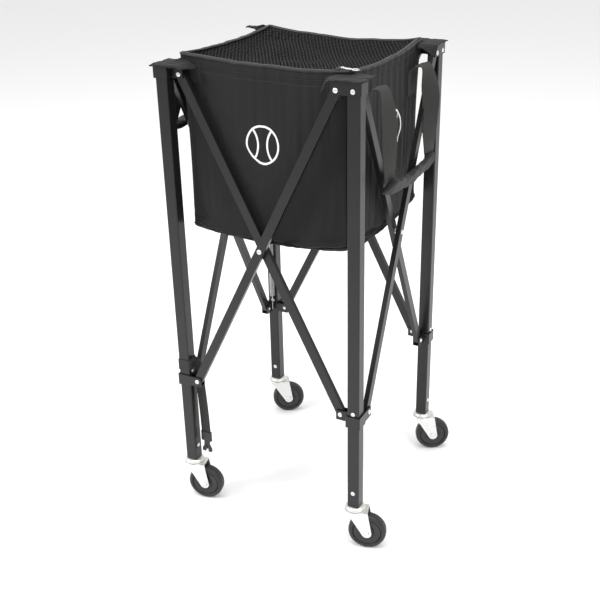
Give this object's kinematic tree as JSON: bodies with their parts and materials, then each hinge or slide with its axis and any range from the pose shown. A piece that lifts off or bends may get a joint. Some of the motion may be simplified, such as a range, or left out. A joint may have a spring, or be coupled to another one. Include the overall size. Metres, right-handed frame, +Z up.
{
  "type": "folding ball basket cart",
  "caption": "Folding sports ball cart: square legs joined by crossed bars and sliding collars, casters, and a square cloth basket with a zipped net lid and side handles.",
  "frame": {"origin": "middle of the bounding box on the floor plane, under the basket and near the middle of the four legs", "axes": "+Z up; the side with the zip slider at its right-hand end faces -Y; +X is to the right of that side, and the two handles face +X and -X"},
  "size_m": [0.5002, 0.4556, 0.984],
  "materials": {
    "powder_coat": "satin black powder coat with a fine orange-peel texture",
    "zinc": "bright zinc plate",
    "black_plastic": "moulded black nylon",
    "wheel_rubber": "hard dark grey-black tread, matt",
    "basket_cloth": "black woven polyester, slight sheen",
    "net": "black knitted mesh",
    "webbing": "ribbed black webbing"
  },
  "bodies": {
    "leg_front_left": {"leg_fl": "powder_coat", "bracket_fl": "powder_coat", "leg_rivets_fl": "zinc", "caster_socket_fl": "zinc", "corner_flap_fl": "basket_cloth", "bag_wall_front": "basket_cloth", "bag_wall_left": "basket_cloth", "storage_strap": "webbing"},
    "leg_front_right": {"leg_fr": "powder_coat", "bracket_fr": "powder_coat", "leg_rivets_fr": "zinc", "caster_socket_fr": "zinc", "corner_flap_fr": "basket_cloth", "bag_wall_right": "basket_cloth"},
    "leg_back_left": {"leg_bl": "powder_coat", "bracket_bl": "powder_coat", "leg_rivets_bl": "zinc", "caster_socket_bl": "zinc", "corner_flap_bl": "basket_cloth", "bag_wall_back": "basket_cloth", "opening_spring": "zinc"},
    "leg_back_right": {"leg_br": "powder_coat", "bracket_br": "powder_coat", "leg_rivets_br": "zinc", "caster_socket_br": "zinc", "corner_flap_br": "basket_cloth"},
    "collar_front_left": {"collar_fl": "powder_coat", "collar_rivets_fl": "zinc"},
    "collar_front_right": {"collar_fr": "powder_coat", "collar_rivets_fr": "zinc"},
    "collar_back_left": {"collar_bl": "powder_coat", "collar_rivets_bl": "zinc"},
    "collar_back_right": {"collar_br": "powder_coat", "collar_rivets_br": "zinc"},
    "front_inner_bar": {"bar_inner_front": "powder_coat", "centre_rivet_front": "zinc"},
    "front_outer_bar": {"bar_outer_front": "powder_coat"},
    "left_outer_bar": {"bar_outer_left": "powder_coat", "centre_rivet_left": "zinc"},
    "left_inner_bar": {"bar_inner_left": "powder_coat"},
    "right_inner_bar": {"bar_inner_right": "powder_coat", "centre_rivet_right": "zinc"},
    "right_outer_bar": {"bar_outer_right": "powder_coat"},
    "back_outer_bar": {"bar_outer_back": "powder_coat", "centre_rivet_back": "zinc"},
    "back_inner_bar": {"bar_inner_back": "powder_coat"},
    "caster_fork_fl": {"fork_fl": "zinc"},
    "caster_wheel_fl": {"wheel_fl": "wheel_rubber"},
    "caster_fork_fr": {"fork_fr": "zinc"},
    "caster_wheel_fr": {"wheel_fr": "wheel_rubber"},
    "caster_fork_bl": {"fork_bl": "zinc"},
    "caster_wheel_bl": {"wheel_bl": "wheel_rubber"},
    "caster_fork_br": {"fork_br": "zinc"},
    "caster_wheel_br": {"wheel_br": "wheel_rubber"},
    "basket_floor": {"bag_floor": "basket_cloth"},
    "lid_edge": {"lid_hem": "basket_cloth"},
    "lid": {"net_lid": "net"},
    "right_handle": {"handle_right": "webbing"},
    "left_handle": {"handle_left": "webbing"},
    "zip_slider": {"zip_pull": "zinc"}
  },
  "joints": [
    {"name": "frame_fold", "type": "hinge", "parent": "leg_front_left", "child": "front_inner_bar", "pos_m": [-0.17365, -0.19933, 0.956], "axis": [0, -1, 0], "range_deg": [-23.98, 0], "stiffness_Nm_per_rad": 9, "springref_deg": 57.3, "deforming": ["bag_wall_front", "bag_wall_left", "bag_wall_right", "bag_wall_back", "bag_floor", "lid_hem", "net_lid", "handle_right", "handle_left", "zip_pull", "opening_spring", "corner_flap_fl", "corner_flap_fr", "corner_flap_bl", "corner_flap_br"]},
    {"name": "front_cross", "type": "hinge", "parent": "front_inner_bar", "child": "front_outer_bar", "pos_m": [-0.01005, -0.20533, 0.6315], "axis": [0, -1, 0], "range_deg": [-0.05, 48.01]},
    {"name": "front_right_leg_top", "type": "hinge", "parent": "front_outer_bar", "child": "leg_front_right", "pos_m": [0.15355, -0.21283, 0.956], "axis": [0, -1, 0], "range_deg": [-24.03, 0.05]},
    {"name": "front_right_collar", "type": "hinge", "parent": "front_inner_bar", "child": "collar_front_right", "pos_m": [0.15355, -0.19933, 0.307], "axis": [0, -1, 0], "range_deg": [-0.05, 24.03]},
    {"name": "front_left_collar", "type": "hinge", "parent": "front_outer_bar", "child": "collar_front_left", "pos_m": [-0.17365, -0.21283, 0.307], "axis": [0, -1, 0], "range_deg": [-24.03, 0.05]},
    {"name": "left_outer_top", "type": "hinge", "parent": "leg_front_left", "child": "left_outer_bar", "pos_m": [-0.21355, -0.17293, 0.956], "axis": [1, 0, 0], "range_deg": [-24.03, 0.05]},
    {"name": "left_cross", "type": "hinge", "parent": "left_outer_bar", "child": "left_inner_bar", "pos_m": [-0.20605, -0.00933, 0.6315], "axis": [1, 0, 0], "range_deg": [-0.05, 48.01]},
    {"name": "back_left_leg_top", "type": "hinge", "parent": "left_inner_bar", "child": "leg_back_left", "pos_m": [-0.20005, 0.15427, 0.956], "axis": [1, 0, 0], "range_deg": [-24.03, 0.05]},
    {"name": "back_left_collar", "type": "hinge", "parent": "left_outer_bar", "child": "collar_back_left", "pos_m": [-0.21355, 0.15427, 0.307], "axis": [1, 0, 0], "range_deg": [-0.05, 24.03]},
    {"name": "right_inner_top", "type": "hinge", "parent": "leg_front_right", "child": "right_inner_bar", "pos_m": [0.17995, -0.17293, 0.956], "axis": [1, 0, 0], "range_deg": [-24.03, 0.05]},
    {"name": "right_cross", "type": "hinge", "parent": "right_inner_bar", "child": "right_outer_bar", "pos_m": [0.18595, -0.00933, 0.6315], "axis": [1, 0, 0], "range_deg": [-0.05, 48.01]},
    {"name": "back_right_leg_top", "type": "hinge", "parent": "right_outer_bar", "child": "leg_back_right", "pos_m": [0.19345, 0.15427, 0.956], "axis": [1, 0, 0], "range_deg": [-24.03, 0.05]},
    {"name": "back_right_collar", "type": "hinge", "parent": "right_inner_bar", "child": "collar_back_right", "pos_m": [0.17995, 0.15427, 0.307], "axis": [1, 0, 0], "range_deg": [-0.05, 24.03]},
    {"name": "back_outer_top", "type": "hinge", "parent": "leg_back_left", "child": "back_outer_bar", "pos_m": [-0.17365, 0.19417, 0.956], "axis": [0, -1, 0], "range_deg": [-24.03, 0.05]},
    {"name": "back_cross", "type": "hinge", "parent": "back_outer_bar", "child": "back_inner_bar", "pos_m": [-0.01005, 0.18667, 0.6315], "axis": [0, -1, 0], "range_deg": [-0.05, 48.01]},
    {"name": "basket_floor_fold", "type": "hinge", "parent": "leg_front_left", "child": "basket_floor", "pos_m": [-0.01005, -0.18133, 0.653], "axis": [1, 0, 0], "range_deg": [-0.05, 90.05]},
    {"name": "lid_edge_fold", "type": "hinge", "parent": "leg_back_left", "child": "lid_edge", "pos_m": [-0.01005, 0.16267, 0.978], "axis": [1, 0, 0], "range_deg": [-0.05, 90.05]},
    {"name": "lid_open", "type": "hinge", "parent": "lid_edge", "child": "lid", "pos_m": [-0.01005, 0.15752, 0.978], "axis": [-1, 0, 0], "range_deg": [0, 110]},
    {"name": "right_handle_lift", "type": "hinge", "parent": "leg_front_right", "child": "right_handle", "pos_m": [0.16795, -0.00933, 0.941], "axis": [0, -1, 0], "range_deg": [0, 120]},
    {"name": "left_handle_lift", "type": "hinge", "parent": "leg_front_left", "child": "left_handle", "pos_m": [-0.18805, -0.00933, 0.941], "axis": [0, 1, 0], "range_deg": [0, 120]},
    {"name": "zip_slide", "type": "slide", "parent": "leg_front_right", "child": "zip_slider", "axis": [-1, 0, 0], "range_m": [0, 0.28]},
    {"name": "caster_swivel_fl", "type": "hinge", "parent": "leg_front_left", "child": "caster_fork_fl", "pos_m": [-0.20605, -0.20533, 0.091], "axis": [0, 0, 1], "continuous": true},
    {"name": "caster_roll_fl", "type": "hinge", "parent": "caster_fork_fl", "child": "caster_wheel_fl", "pos_m": [-0.18092, -0.20045, 0.0395], "axis": [-0.1908, 0.9816, 0], "continuous": true},
    {"name": "caster_swivel_fr", "type": "hinge", "parent": "leg_front_right", "child": "caster_fork_fr", "pos_m": [0.18595, -0.20533, 0.091], "axis": [0, 0, 1], "continuous": true},
    {"name": "caster_roll_fr", "type": "hinge", "parent": "caster_fork_fr", "child": "caster_wheel_fr", "pos_m": [0.21061, -0.19845, 0.0395], "axis": [-0.2689, 0.9632, 0], "continuous": true},
    {"name": "caster_swivel_bl", "type": "hinge", "parent": "leg_back_left", "child": "caster_fork_bl", "pos_m": [-0.20605, 0.18667, 0.091], "axis": [0, 0, 1], "continuous": true},
    {"name": "caster_roll_bl", "type": "hinge", "parent": "caster_fork_bl", "child": "caster_wheel_bl", "pos_m": [-0.18408, 0.19982, 0.0395], "axis": [-0.5135, 0.8581, 0], "continuous": true},
    {"name": "caster_swivel_br", "type": "hinge", "parent": "leg_back_right", "child": "caster_fork_br", "pos_m": [0.18595, 0.18667, 0.091], "axis": [0, 0, 1], "continuous": true},
    {"name": "caster_roll_br", "type": "hinge", "parent": "caster_fork_br", "child": "caster_wheel_br", "pos_m": [0.20832, 0.19912, 0.0395], "axis": [-0.4863, 0.8738, 0], "continuous": true}
  ],
  "couplings": [
    {"joint": "front_cross", "follows": "frame_fold", "ratio": -2},
    {"joint": "front_right_leg_top", "follows": "frame_fold", "ratio": 1},
    {"joint": "front_right_collar", "follows": "frame_fold", "ratio": -1},
    {"joint": "front_left_collar", "follows": "frame_fold", "ratio": 1},
    {"joint": "left_outer_top", "follows": "frame_fold", "ratio": 1},
    {"joint": "left_cross", "follows": "frame_fold", "ratio": -2},
    {"joint": "back_left_leg_top", "follows": "frame_fold", "ratio": 1},
    {"joint": "back_left_collar", "follows": "frame_fold", "ratio": -1},
    {"joint": "right_inner_top", "follows": "frame_fold", "ratio": 1},
    {"joint": "right_cross", "follows": "frame_fold", "ratio": -2},
    {"joint": "back_right_leg_top", "follows": "frame_fold", "ratio": 1},
    {"joint": "back_right_collar", "follows": "frame_fold", "ratio": -1},
    {"joint": "back_outer_top", "follows": "frame_fold", "ratio": 1},
    {"joint": "back_cross", "follows": "frame_fold", "ratio": -2},
    {"joint": "basket_floor_fold", "follows": "frame_fold", "ratio": -3.7532},
    {"joint": "lid_edge_fold", "follows": "frame_fold", "ratio": -3.7532}
  ]
}
